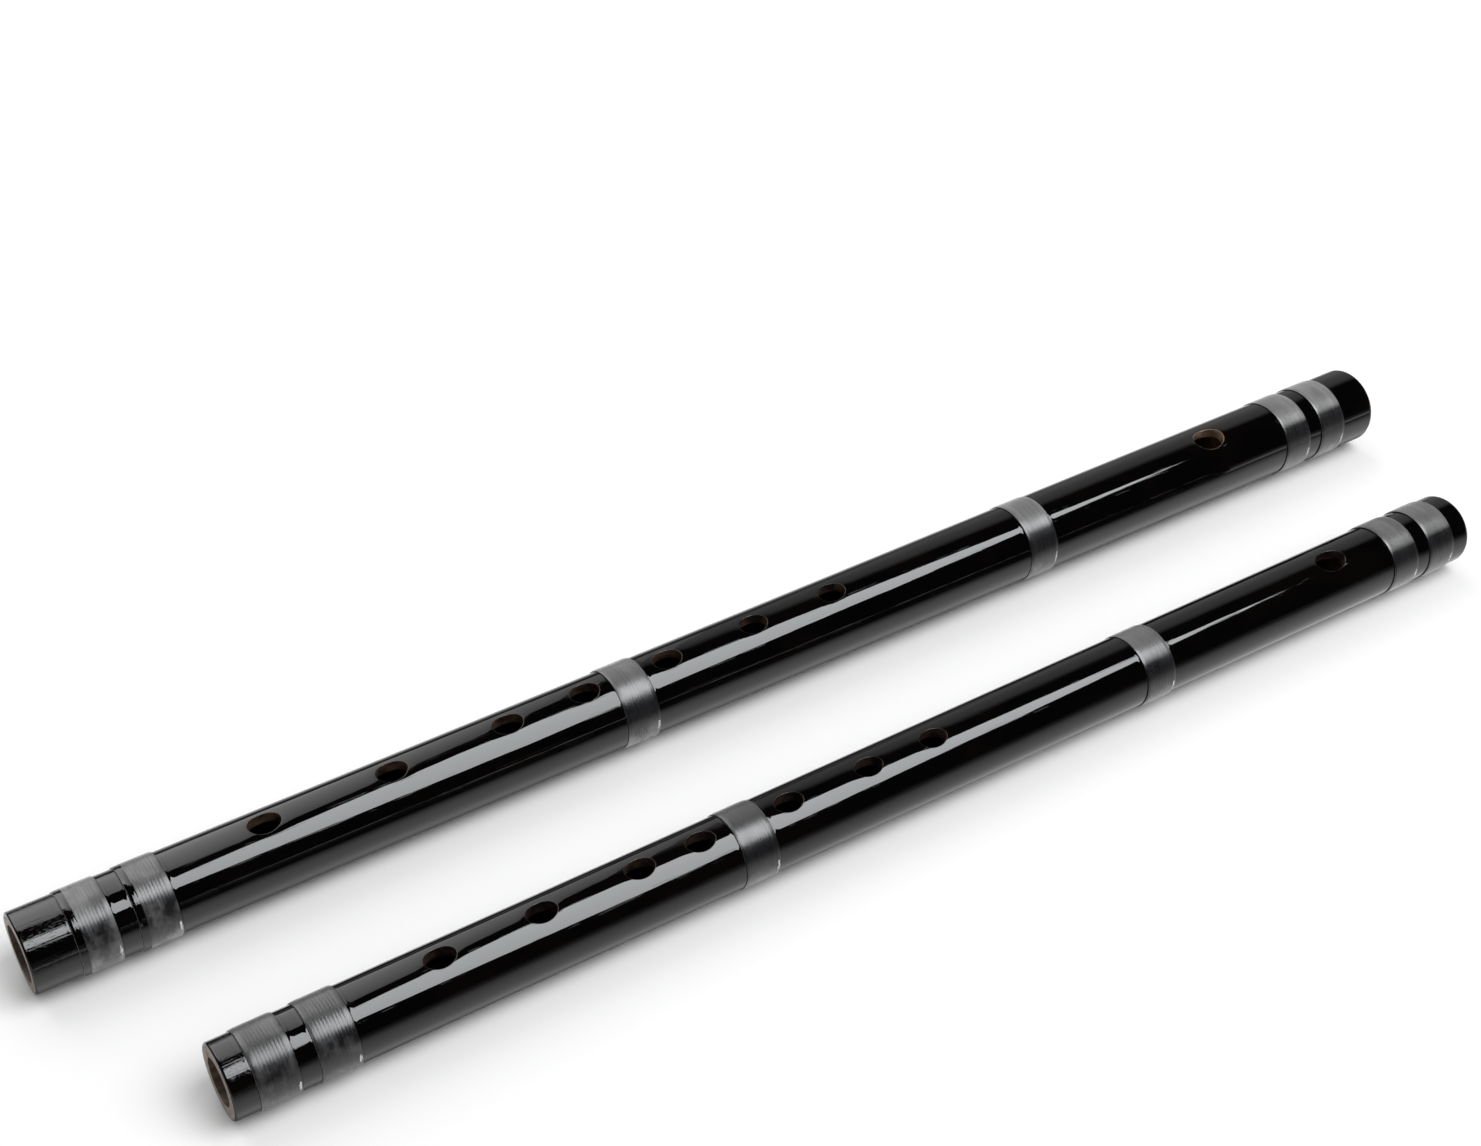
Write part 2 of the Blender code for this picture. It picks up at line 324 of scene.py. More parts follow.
def seat_reach(f, s):
    """Distance from the axis down to the flats that a binding would rest on."""
    return (outer(f, s) + PROUD) * SEAT_FLATS


def placements():
    """Resting matrices of both flutes, worked out as the solids' are."""
    last_long = LONG["bindings"][-1] + LONG["binding"] / 2 - BINDING_EDGE
    last_short = SHORT["bindings"][-1] + SHORT["binding"] / 2 - BINDING_EDGE
    long_reach = seat_reach(LONG, last_long)
    short_reach = seat_reach(SHORT, last_short) * math.cos(SHORT_YAW)
    short_reach -= last_short * math.sin(SHORT_YAW)
    long_y = (SPACING + short_reach - long_reach) / 2
    long_x = -LONG["length"] / 2
    places = {}
    for f, x, y, yaw in (
        (LONG, long_x, long_y, 0.0),
        (SHORT, long_x + SHORT_AHEAD, long_y - SPACING, SHORT_YAW),
    ):
        rise = seat_reach(f, f["length"]) - seat_reach(f, 0.0)
        pitch = math.atan(rise / f["length"])
        height = seat_reach(f, 0.0) * math.cos(pitch)
        turn = Matrix.Rotation(yaw, 4, "Z") @ Matrix.Rotation(-pitch, 4, "Y")
        places[f["name"]] = Matrix.Translation((x * MM, y * MM, height * MM)) @ turn
    return places


# The tube

def stations(f):
    """Stations of the tube's cross rings, close together where the surface turns."""
    marks = {0.0, f["length"]}
    for low, high in recesses(f):
        for away in BEAD_STATIONS:
            marks.add(round(low - away, 4))
            marks.add(round(high + away, 4))
    for s, half_l, half_w, turn in f["hole_list"]:
        low = s - half_l - PATCH_MARGIN
        high = s + half_l + PATCH_MARGIN
        steps = math.ceil((high - low) / PATCH_STEP)
        marks.update(round(low + (high - low) * k / steps, 4) for k in range(steps + 1))
    for k in range(1, EDGE_RINGS + 1):
        share = 1 - math.cos(math.pi / 2 * k / EDGE_RINGS)
        marks.add(round(FOOT_EDGE * share, 4))
        marks.add(round(f["length"] - HEAD_EDGE * share, 4))
    kept = []
    for mark in sorted(marks):
        if kept:
            gap = mark - kept[-1]
            steps = math.ceil(gap / STATION_STEP)
            start = kept[-1]
            kept.extend(start + gap * k / steps for k in range(1, steps))
        kept.append(mark)
    return kept


def nearest(values, wanted):
    return min(range(len(values)), key=lambda i: abs(values[i] - wanted))


def hole_patches(f, lines):
    """The grid cells that each hole takes: its first and last ring, and first and last side."""
    step = math.tau / SIDES
    found = []
    for s, half_l, half_w, turn in f["hole_list"]:
        spread = math.asin((half_w + PATCH_MARGIN) / outer(f, s))
        first = nearest(lines, s - half_l - PATCH_MARGIN)
        last = nearest(lines, s + half_l + PATCH_MARGIN)
        left = math.floor((turn - spread) / step)
        right = math.ceil((turn + spread) / step)
        found.append((first, last, left, right))
    return found


def patch_border(patch):
    """The grid points round a patch, in order."""
    first, last, left, right = patch
    border = [(first, k) for k in range(left, right)]
    border += [(i, right) for i in range(first, last)]
    border += [(last, k) for k in range(right, left, -1)]
    border += [(i, left) for i in range(last, first, -1)]
    return border


def build_hole(shell, f, hole, patch, lines, grid, bore_grid, wall):
    """Fills a patch: dish, lip, straight wall down to the bore, and the bore round it."""
    s, half_l, half_w, turn = hole
    step = math.tau / SIDES
    radius = outer(f, s)
    border = patch_border(patch)
    spread = math.asin((half_w + PATCH_MARGIN) / radius)
    directions = []
    for i, k in border:
        along = (lines[i] - s) / (half_l + PATCH_MARGIN)
        directions.append(math.atan2((k * step - turn) / spread, along))

    def on_skin(along, off):
        angle = turn + off
        place = s + along
        return shell.point(place, angle, skin(f, place, angle), skin_normal(f, place, angle))

    def oval(grow):
        made = []
        for direction in directions:
            across = (half_w + grow) * math.sin(direction)
            made.append(on_skin((half_l + grow) * math.cos(direction), math.asin(across / radius)))
        return made

    previous = [grid[i][k % SIDES] for i, k in border]
    for share in PATCH_BLENDS:
        made = []
        for (i, k), direction in zip(border, directions):
            along = lines[i] - s
            off = k * step - turn
            goal_along = (half_l + PATCH_EASE) * math.cos(direction)
            goal_off = math.asin((half_w + PATCH_EASE) * math.sin(direction) / radius)
            along += (goal_along - along) * share
            off += (goal_off - off) * share
            made.append(on_skin(along, off))
        shell.band(previous, made, SKIN, True)
        previous = made
    for grow in PATCH_OVALS:
        made = oval(grow)
        shell.band(previous, made, wall if grow < WORN_EDGE else SKIN, True)
        previous = made
    top = previous
    for share in WALL_SHARES:
        made = []
        for index, direction in zip(top, directions):
            x, y, z = shell.points[index]
            across = half_w * math.sin(direction)
            high = math.sqrt(y * y + z * z - across ** 2)
            low = math.sqrt(bore(f, x) ** 2 - across ** 2)
            height = high + (low - high) * share
            angle = turn + math.atan2(across, height)
            made.append(shell.point(x, angle, math.hypot(across, height)))
        shell.band(previous, made, wall)
        previous = made
    for (i, k), index in zip(border, previous):
        x, y, z = shell.points[index]
        angle = math.atan2(-y, z)
        shell.normals[index] = Vector((0.0, math.sin(angle), -math.cos(angle)))
    shell.band(previous, [bore_grid[i][k % SIDES] for i, k in border], PITH, True)


def build_tube(f, matrix, materials):
    """Skin, recesses, bore and end faces, with each hole's patch let into the skin."""
    shell = Shell()
    lines = stations(f)
    last = len(lines) - 1
    angles = [math.tau * k / SIDES for k in range(SIDES)]
    spans = recesses(f)
    grid = []
    bore_grid = []
    for s in lines:
        grid.append([shell.point(s, a, skin(f, s, a), skin_normal(f, s, a)) for a in angles])
        ring = []
        for a in angles:
            ring.append(shell.point(s, a, bore(f, s), Vector((0.0, math.sin(a), -math.cos(a)))))
        bore_grid.append(ring)

    patches = hole_patches(f, lines)
    taken = set()
    for first, end, left, right in patches:
        taken.update((i, k % SIDES) for i in range(first, end) for k in range(left, right))
    for i in range(last):
        middle = (lines[i] + lines[i + 1]) / 2
        recessed = any(low < middle < high for low, high in spans)
        for k in range(SIDES):
            n = (k + 1) % SIDES
            if (i, k) in taken:
                continue
            if not recessed:
                corners = (grid[i][k], grid[i][n], grid[i + 1][n], grid[i + 1][k])
                shell.face(corners, SKIN, True)
            low = bore_grid[i]
            high = bore_grid[i + 1]
            shell.face((high[k], high[n], low[n], low[k]), PITH, True)

    for low, high in spans:
        near = grid[nearest(lines, low)]
        far = grid[nearest(lines, high)]
        floor_near = shell.ring(low + RECESS_LEAN, outer(f, low) - RECESS_DEPTH, SIDES)
        floor_far = shell.ring(high - RECESS_LEAN, outer(f, high) - RECESS_DEPTH, SIDES)
        shell.band(near, floor_near, SKIN)
        shell.band(floor_near, floor_far, SKIN)
        shell.band(floor_far, far, SKIN)

    corner = shell.ring(0.0, bore(f, 0.0) + RIM_CORNER, SIDES)
    lip = shell.ring(0.0, outer(f, 0.0) - FOOT_EDGE - RIM_CHAMFER, SIDES)
    shell.band(bore_grid[0], corner, RIM)
    shell.band(corner, lip, RIM)
    shell.band(lip, grid[0], SKIN)
    mouth = shell.ring(f["length"], bore(f, f["length"]) + SLIM_GAP, SIDES)
    shell.band(grid[last], mouth, SKIN)
    shell.band(mouth, bore_grid[last], PITH)
    for hole, patch in zip(f["hole_list"], patches):
        wall = MOUTH_WALL if hole[0] == f["mouth"] else FINGER_WALL
        build_hole(shell, f, hole, patch, lines, grid, bore_grid, wall)
    return shell.finish(f["name"] + "_tube_lacquered", materials, matrix)


# The bindings

def thread_radius(f, middle, s, angle):
    """Radius of the wound thread: round turns side by side, more or less full of lacquer."""
    half = f["binding"] / 2 + CLEARANCE - THREAD_GAP
    seed = f["seed"] + middle * 0.37
    turn = (s - middle + half) / (2 * half) * THREAD_TURNS - angle / math.tau
    crest = math.sqrt(max(0.0, 1 - (2 * (turn % 1.0) - 1) ** 2))
    cell = Vector((s * 0.5 + seed, math.cos(angle) * 1.5, math.sin(angle) * 1.5))
    depth = THREAD_DEPTH * (0.8 + 0.5 * noise.noise(cell))
    slack = noise.noise(Vector((math.floor(turn) * 3.7 + seed, math.cos(angle), math.sin(angle))))
    inset = min(1.0, (half - abs(s - middle)) / CROWN_REACH)
    crown = CROWN_DROP * (inset - 1.0)
    top = outer(f, s) + PROUD - THREAD_SINK + THREAD_SLACK * slack
    return top + crown - depth * (1.0 - crest)


def in_white_spot(s, angle, edge):
    """Whether a spot lies in the small whitish patch by the binding's head-side edge."""
    along = (s - edge + SPOT_FROM_EDGE) / SPOT_HALF_LENGTH
    around = (angle - SPOT_ANGLE) / SPOT_HALF_ANGLE
    ragged = noise.noise(Vector((edge * 3.1 + s * 2.5, angle * 14.0, 0.0)))
    return along ** 2 + around ** 2 < 0.6 + 0.9 * ragged


def build_binding(f, name, middle, matrix, materials, collar):
    """One thread wound round and round. The collar is the part that lacquer has filled."""
    shell = Shell()
    half = f["binding"] / 2 + CLEARANCE - THREAD_GAP
    count = THREAD_TURNS * THREAD_STEPS
    angles = [math.tau * k / THREAD_SIDES for k in range(THREAD_SIDES)]
    rings = []
    for j in range(count + 1):
        s = middle - half + 2 * half * j / count
        rings.append([shell.point(s, a, thread_radius(f, middle, s, a)) for a in angles])
    for s in (middle + half, middle - half):
        under = outer(f, s) - RECESS_DEPTH + CLEARANCE
        for radius in ((outer(f, s), under) if s > middle else (under, outer(f, s))):
            rings.append(shell.ring(s, radius, THREAD_SIDES))
    for j, near in enumerate(rings):
        slot = COLLAR if j < count * collar else THREAD
        shell.band(near, rings[(j + 1) % len(rings)], slot)
    for j in range(count):
        s = middle - half + 2 * half * (j + 0.5) / count
        for k in range(THREAD_SIDES):
            if in_white_spot(s, math.tau * (k + 0.5) / THREAD_SIDES, middle + half):
                shell.slots[j * THREAD_SIDES + k] = WHITE_SPOT
    return shell.finish(f"{f['name']}_{name}_thread", materials, matrix)


# The pieces in the bore

def build_turned(name, outline, matrix, material):
    """A closed turned piece from its outline of stations and radii."""
    shell = Shell()
    rings = [shell.ring(s, radius, SIDES) for s, radius in outline]
    for near, far in zip(rings, rings[1:]):
        shell.band(near, far)
    return shell.finish(name, [material], matrix)


def build_stopper(f, matrix, material):
    """Wax with a slightly hollow face, rounded where it meets the bore."""
    start = f["mouth"] + f["mouth_size"][0] / 2 + STOPPER_OFFSET
    end = start + f["stopper"]
    corner = STOPPER_CORNER
    outline = [(start + STOPPER_HOLLOW, 0.0), (start + STOPPER_HOLLOW - 0.05, bore(f, start) * 0.5)]
    for j in range(6):
        angle = math.pi / 2 * j / 5
        radius = bore(f, start) - SLIM_GAP - corner * (1 - math.sin(angle))
        outline.append((start + corner * (1 - math.cos(angle)), radius))
    outline.append((end - corner, bore(f, end) - SLIM_GAP))
    outline.append((end, bore(f, end) - SLIM_GAP - corner))
    outline.append((end, 0.0))
    return build_turned(f["name"] + "_stopper_wax", outline, matrix, material)


def build_plug(f, matrix, material):
    """A wooden plug with a low domed end, just inside the tube's head."""
    start = f["length"] - f["plug"]
    rim = f["length"] - PLUG_DOME
    top = bore(f, rim) - DOME_INSET
    outline = [(start, 0.0), (start, bore(f, start) - PLUG_LEAD_GAP)]
    outline.append((start + PLUG_LEAD, bore(f, start) - SLIM_GAP))
    outline.append((rim, bore(f, rim) - SLIM_GAP))
    for j in range(EDGE_RINGS):
        share = 1 - j / EDGE_RINGS
        rise = DOME_STEP + (PLUG_DOME - DOME_STEP) * (1 - share ** 2)
        outline.append((rim + rise, top * share))
    outline.append((rim + PLUG_DOME, 0.0))
    return build_turned(f["name"] + "_plug_lacquered", outline, matrix, material)


# Materials

class Nodes:
    """Shorthand for a material's node tree. Patterns are set out in metres along the tube."""

    def __init__(self, name):
        self.material = bpy.data.materials.new(name)
        self.material.use_nodes = True
        self.tree = self.material.node_tree
        self.shader = self.tree.nodes["Principled BSDF"]
        coords = self.tree.nodes.new("ShaderNodeTexCoord")
        self.place = coords.outputs["Object"]
        self.facing = coords.outputs["Normal"]

    def put(self, socket, value):
        if hasattr(value, "is_output"):
            self.tree.links.new(value, socket)
        else:
            socket.default_value = value

    def noise(self, x, across, detail=3.0, roughness=0.55):
        """Noise with so many cells a metre along the tube, and so many across it."""
        mapping = self.tree.nodes.new("ShaderNodeMapping")
        mapping.inputs["Scale"].default_value = (x, across, across)
        self.tree.links.new(self.place, mapping.inputs["Vector"])
        node = self.tree.nodes.new("ShaderNodeTexNoise")
        self.tree.links.new(mapping.outputs["Vector"], node.inputs["Vector"])
        node.inputs["Scale"].default_value = 1.0
        node.inputs["Detail"].default_value = detail
        node.inputs["Roughness"].default_value = roughness
        return node.outputs["Fac"]

    def math(self, operation, a, b=0.0):
        node = self.tree.nodes.new("ShaderNodeMath")
        node.operation = operation
        self.put(node.inputs[0], a)
        self.put(node.inputs[1], b)
        return node.outputs[0]

    def spread(self, value, low, high, to_low=0.0, to_high=1.0):
        """Maps low..high smoothly to to_low..to_high, and stops there."""
        node = self.tree.nodes.new("ShaderNodeMapRange")
        node.interpolation_type = "SMOOTHSTEP"
        self.put(node.inputs["Value"], value)
        node.inputs["From Min"].default_value = low
        node.inputs["From Max"].default_value = high
        node.inputs["To Min"].default_value = to_low
        node.inputs["To Max"].default_value = to_high
        return node.outputs["Result"]

    def mix(self, factor, a, b):
        node = self.tree.nodes.new("ShaderNodeMix")
        node.data_type = "RGBA"
        self.put(node.inputs["Factor"], factor)
        for socket, value in ((node.inputs[6], a), (node.inputs[7], b)):
            self.put(socket, value if hasattr(value, "is_output") else (*value, 1.0))
        return node.outputs[2]

    def colour(self, value):
        self.put(self.shader.inputs["Base Color"], value)

    def roughness(self, value):
        self.put(self.shader.inputs["Roughness"], value)

    def bump(self, height, strength, distance):
        node = self.tree.nodes.new("ShaderNodeBump")
        node.inputs["Strength"].default_value = strength
        node.inputs["Distance"].default_value = distance
        self.put(node.inputs["Height"], height)
        self.put(self.shader.inputs["Normal"], node.outputs["Normal"])

    def towards(self, direction):
        """How squarely the surface faces a direction of the part, from -1 to 1."""
        node = self.tree.nodes.new("ShaderNodeVectorMath")
        node.operation = "DOT_PRODUCT"
        node.inputs[1].default_value = Vector(direction).normalized()
        self.tree.links.new(self.facing, node.inputs[0])
        return node.outputs["Value"]

    def axis(self, letter):
        """The distance from the origin along one axis, in metres."""
        node = self.tree.nodes.new("ShaderNodeSeparateXYZ")
        self.tree.links.new(self.place, node.inputs[0])
        return node.outputs[letter]


def lacquer_material(name, foot):
    """Black lacquer over bamboo: a mirror with slow waves, grain, dust and rubbed scratches."""
    m = Nodes(name)
    grain = m.noise(25.0, 700.0, 4.0)
    waves = m.noise(60.0, 90.0, 2.0)
    specks = m.noise(1500.0, 1500.0, 2.0)
    scratches = m.spread(m.noise(45.0, 3200.0, 2.0), 0.60, 0.74)
    knocks = m.spread(m.noise(1500.0, 3600.0, 3.0), 0.55, 0.75)
    m.colour(m.mix(m.spread(waves, 0.35, 0.7), (0.0009, 0.0008, 0.0008), (0.0020, 0.0014, 0.0012)))
    rubbed = m.spread(m.axis("X"), foot + 0.013, foot + 0.006)
    dust = m.spread(specks, 0.66, 0.8, 0.0, 0.1)
    rough = m.math("ADD", m.spread(grain, 0.45, 0.8, 0.02, 0.06), dust)
    scuffed = m.math("MULTIPLY", rubbed, m.spread(scratches, 0.2, 1.0, 0.0, 0.12))
    m.roughness(m.math("ADD", rough, scuffed))
    height = m.math("ADD", m.math("MULTIPLY", grain, 0.35), waves)
    depth = m.math("ADD", m.math("MULTIPLY", rubbed, 5.0), 0.25)
    height = m.math("SUBTRACT", height, m.math("MULTIPLY", scratches, depth))
    height = m.math("SUBTRACT", height, m.math("MULTIPLY", knocks, m.math("MULTIPLY", rubbed, 1.2)))
    m.bump(height, 0.10, 0.0002)
    m.shader.inputs["IOR"].default_value = 1.5
    return m.material


def bore_material(name, foot):
    """Old lacquer and pith inside the bore, worn to brown near the foot."""
    m = Nodes(name)
    fibres = m.noise(40.0, 900.0, 5.0)
    deep = m.mix(m.spread(fibres, 0.35, 0.7), (0.004, 0.002, 0.0015), (0.016, 0.009, 0.006))
    worn = m.mix(m.spread(fibres, 0.35, 0.7), (0.075, 0.048, 0.036), (0.150, 0.100, 0.076))
    m.colour(m.mix(m.spread(m.axis("X"), foot + 0.016, foot + 0.002), deep, worn))
    m.roughness(m.spread(fibres, 0.3, 0.7, 0.35, 0.6))
    m.bump(fibres, 0.5, 0.0003)
    return m.material


def rim_material():
    """Bare end grain at the foot: beige grey, with the fibre bundles as fine dots."""
    m = Nodes("bare_bamboo_rim")
    dots = m.noise(2600.0, 2600.0, 2.0)
    stain = m.noise(260.0, 260.0, 3.0)
    wood = m.mix(m.spread(dots, 0.42, 0.62), (0.36, 0.31, 0.25), (0.20, 0.165, 0.13))
    m.colour(m.mix(m.spread(stain, 0.5, 0.75), wood, (0.12, 0.10, 0.085)))
    m.roughness(m.spread(stain, 0.3, 0.7, 0.45, 0.65))
    m.bump(dots, 0.4, 0.0002)
    return m.material


def hole_material(name, light, dark):
    """The cut wall of a hole: lacquer soaked into bamboo, lighter where it has worn."""
    m = Nodes(name)
    fibres = m.noise(300.0, 1400.0, 4.0)
    blot = m.noise(260.0, 260.0, 2.0)
    wall = m.mix(m.spread(blot, 0.35, 0.65), dark, light)
    m.colour(m.mix(m.spread(fibres, 0.5, 0.75, 0.0, 0.6), wall, dark))
    m.roughness(m.spread(fibres, 0.3, 0.7, 0.22, 0.42))
    m.bump(fibres, 0.4, 0.0002)
    return m.material


def thread_material(name, foot, dark, grey, painted_top_light, pale, streak, sheen):
    """Thread soaked in black lacquer, with a fibre's sheen. Its upper side is painted lighter, more
    so towards the head, as painted light from above. Low down it is painted pale in smears and
    flecks, partly old wax and partly a painted reflection of the floor, and old wax lies thinly all
    round near the foot.
    """
    m = Nodes(name)
    lines = m.noise(4200.0, 12.0, 2.0, 0.6)
    patches = m.noise(170.0, 80.0, 3.0)
    smears = m.noise(240.0, 150.0, 3.0, 0.6)
    flecks = m.noise(1000.0, 420.0, 2.0)
    # Painted reflection and old wax: low down the thread is painted pale in smears and flecks,
    # partly old wax, partly a reflection of the white floor
    low_wax_and_painted_reflection = m.spread(m.axis("Z"), 0.0120, 0.004, 0.0, 1.0)
    at_foot = m.spread(m.axis("X"), foot + 0.036, foot + 0.032, 0.0, 0.3)
    base = m.mix(m.spread(lines, 0.36, 0.66), dark, grey)
    # Painted highlight: the side that faces up is painted a lighter grey, more so towards the head,
    # for light from above
    painted_top_mask = m.spread(m.towards((0.0, 0.0, 1.0)), 0.67, 0.79)
    for part in (m.spread(patches, 0.3, 0.7, 1.0, 0.6), m.spread(lines, 0.3, 0.6, 0.7, 1.0)):
        painted_top_mask = m.math("MULTIPLY", painted_top_mask, part)
    base = m.mix(painted_top_mask, base, m.mix(m.spread(m.axis("X"), foot + 0.06, foot + 0.27), *painted_top_light))
    # The pale smears: a painted floor reflection low down, and old wax all round near the foot
    wax_and_painted_reflection = m.math("MAXIMUM", low_wax_and_painted_reflection, at_foot)
    wax_and_painted_reflection = m.math("MULTIPLY", m.spread(smears, 0.42, 0.70, 0.0, streak), wax_and_painted_reflection)
    base = m.mix(wax_and_painted_reflection, base, pale)
    dotted = m.math("MULTIPLY", m.spread(flecks, 0.64, 0.76, 0.0, 0.6), low_wax_and_painted_reflection)
    m.colour(m.mix(dotted, base, pale))
    rough = m.spread(patches, 0.35, 0.7, 0.26, 0.33)
    m.roughness(m.math("ADD", rough, m.math("MULTIPLY", wax_and_painted_reflection, 0.3)))
    m.bump(m.math("ADD", lines, m.math("MULTIPLY", flecks, 0.10)), 0.10, 0.00010)
    m.put(m.shader.inputs["Sheen Weight"], m.spread(patches, 0.3, 0.7, sheen, 0.7 * sheen))
    m.shader.inputs["Sheen Roughness"].default_value = 0.35
    m.shader.inputs["IOR"].default_value = 1.55
    return m.material


def white_spot_material():
    """A mottled whitish grey, rough, for the small patch low on the front by each binding's
    head-side edge.
    """
    m = Nodes("white_spot")
    mottle = m.noise(1800.0, 1800.0, 3.0)
    m.colour(m.mix(m.spread(mottle, 0.35, 0.65), (0.34, 0.33, 0.32), (0.74, 0.73, 0.70)))
    m.roughness(m.spread(mottle, 0.3, 0.7, 0.35, 0.55))
    m.bump(mottle, 0.3, 0.0001)
    return m.material


def wax_material():
    m = Nodes("stopper_beeswax")
    cloud = m.noise(150.0, 150.0, 3.0)
    m.colour(m.mix(m.spread(cloud, 0.3, 0.7), (0.075, 0.038, 0.015), (0.170, 0.095, 0.040)))
    m.roughness(m.spread(cloud, 0.3, 0.7, 0.4, 0.6))
    m.bump(cloud, 0.3, 0.0004)
    return m.material


def plug_material():
    """End grain of the wooden plug, showing faintly through black lacquer."""
    m = Nodes("plug_black_lacquer")
    grain = m.noise(300.0, 500.0, 4.0)
    m.colour(m.mix(m.spread(grain, 0.4, 0.7), (0.0012, 0.0011, 0.0011), (0.005, 0.004, 0.0035)))
    m.roughness(m.spread(grain, 0.3, 0.8, 0.05, 0.16))
    m.bump(grain, 0.12, 0.0002)
    return m.material


def add_piece(piece, body, node):
    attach(piece, body)
    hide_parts(node)


def build_flute(f, matrix, thread, wall, mouth_wall):
    name = f["name"]
    body = name + "_flute"
    f["hole_list"] = holes(f)
    lacquer = lacquer_material(name + "_black_lacquer", matrix.translation.x)
    pith = bore_material(name + "_bore_bamboo", matrix.translation.x)
    skins = [lacquer, pith, rim_material(), wall, mouth_wall]
    wound = [thread, lacquer, white_spot_material()]
    add_piece(build_tube(f, matrix, skins), body, name + "_tube")
    for label, middle in zip(BINDING_NAMES, f["bindings"]):
        collar = COLLAR_SHARE if label in f["collars"] else 0.0
        piece = build_binding(f, label, middle, matrix, wound, collar)
        add_piece(piece, body, f"{name}_{label}_binding")
    add_piece(build_stopper(f, matrix, wax_material()), body, name + "_bore_stopper")
    add_piece(build_plug(f, matrix, plug_material()), body, name + "_head_plug")


places = placements()
build_flute(
    LONG, places["long"],
    thread_material(
        "thread_grey", places["long"].translation.x,
        dark=(0.002, 0.002, 0.003), grey=(0.009, 0.009, 0.010),
        # Painted highlight on the upper side of the thread, lighter from foot to head:
        painted_top_light=((0.09, 0.09, 0.09), (0.24, 0.24, 0.24)),
        pale=(0.30, 0.30, 0.30), streak=0.9, sheen=0.7,
    ),
    hole_material("hole_wall_long", (0.085, 0.054, 0.037), (0.017, 0.011, 0.008)),
    hole_material("mouth_wall_long", (0.360, 0.245, 0.175), (0.140, 0.088, 0.058)),
)
build_flute(
    SHORT, places["short"],
    thread_material(
        "thread_dark", places["short"].translation.x,
        dark=(0.002, 0.002, 0.003), grey=(0.007, 0.007, 0.008),
        # Painted highlight on the upper side of the thread, lighter from foot to head:
        painted_top_light=((0.05, 0.05, 0.05), (0.15, 0.15, 0.15)),
        pale=(0.20, 0.20, 0.20), streak=0.7, sheen=0.5,
    ),
    hole_material("hole_wall_short", (0.052, 0.031, 0.025), (0.010, 0.007, 0.006)),
    hole_material("mouth_wall_short", (0.055, 0.034, 0.030), (0.010, 0.007, 0.007)),
)


# Studio: a white floor, two soft faces that the gloss sees, two soft lamps, a dim room

HEADING = Vector((0.553, 0.833, 0.0))
ACROSS = Vector((0.833, -0.553, 0.0))
FLOOR_REACH = 6.0
ROOM_RADIUS = 9.0
ROOM_BANDS = 24
ROOM_GREY_SIDE = (0.66, 0.63, 0.40)
WORLD_FILL = 0.37
# How bright the floor looks in the gloss, by its place across the flutes in mm. Lines of sight
# that graze the floor land far from a flute, and the photographed floor is dim along them.
# In the gloss the floor is a glow of its own, which casts no shadow, so the dips under each flute,
# to 0.15 and 0.20, are painted shadow.
FLOOR_GLOSS = (
    (-150.0, 0.11), (-93.0, 0.35), (-62.0, 0.80), (-48.0, 1.0), (-36.0, 1.0), (-33.0, 0.15),
    (-20.0, 0.20), (-8.0, 0.60), (5.0, 1.0), (18.0, 1.0), (22.0, 0.15), (35.0, 0.20), (42.0, 1.0),
    (75.0, 1.0), (160.0, 0.25),
)
# The floor turns into a plain white backdrop between these distances from the part, in metres
BACKDROP_FROM = 0.38
BACKDROP_TO = 0.80


def studio_point(ahead, across, height):
    """A point by its distances ahead of the part's origin and to the camera's right, in mm."""
    return (HEADING * ahead + ACROSS * across) * MM + Vector((0.0, 0.0, height * MM))


def add_stage(name, points, faces, material):
    mesh = bpy.data.meshes.new(name)
    mesh.from_pydata(points, [], faces)
    mesh.materials.append(material)
    obj = bpy.data.objects.new(name, mesh)
    bpy.context.scene.collection.objects.link(obj)
    return obj


def floor_material():
    """White paper with the part's shadow, a white backdrop far away, and its look in the gloss."""
    m = Nodes("studio_floor")
    m.colour(m.mix(m.noise(8.0, 8.0, 2.0), (0.96, 0.96, 0.965), (0.98, 0.98, 0.98)))
    m.shader.inputs["Roughness"].default_value = 0.9
    m.shader.inputs["Specular IOR Level"].default_value = 0.0
    first = FLOOR_GLOSS[0][0]
    span = FLOOR_GLOSS[-1][0] - first
    # In the gloss the floor shows as the glow from FLOOR_GLOSS, with its painted shadow under each
    # flute
    ramp = m.tree.nodes.new("ShaderNodeValToRGB")
    while len(ramp.color_ramp.elements) < len(FLOOR_GLOSS):
        ramp.color_ramp.elements.new(0.5)
    for element, (place, level) in zip(ramp.color_ramp.elements, FLOOR_GLOSS):
        element.position = (place - first) / span
        element.color = (level, level, level, 1.0)
    share = m.math("DIVIDE", m.math("SUBTRACT", m.axis("Y"), first * MM), span * MM)
    m.put(ramp.inputs[0], share)
    glow = m.tree.nodes.new("ShaderNodeEmission")
    m.put(glow.inputs["Color"], ramp.outputs["Color"])
    backdrop = m.tree.nodes.new("ShaderNodeEmission")
    away = m.tree.nodes.new("ShaderNodeVectorMath")
    away.operation = "LENGTH"
    m.put(away.inputs[0], m.place)
    far = m.spread(away.outputs["Value"], BACKDROP_FROM, BACKDROP_TO)
    paths = m.tree.nodes.new("ShaderNodeLightPath")
    seen = m.math("MULTIPLY", far, paths.outputs["Is Camera Ray"])
    surface = m.shader.outputs[0]
    for factor, other in ((paths.outputs["Is Glossy Ray"], glow), (seen, backdrop)):
        mix = m.tree.nodes.new("ShaderNodeMixShader")
        m.put(mix.inputs[0], factor)
        m.put(mix.inputs[1], surface)
        m.put(mix.inputs[2], other.outputs[0])
        surface = mix.outputs[0]
    m.put(m.tree.nodes["Material Output"].inputs["Surface"], surface)
    return m.material


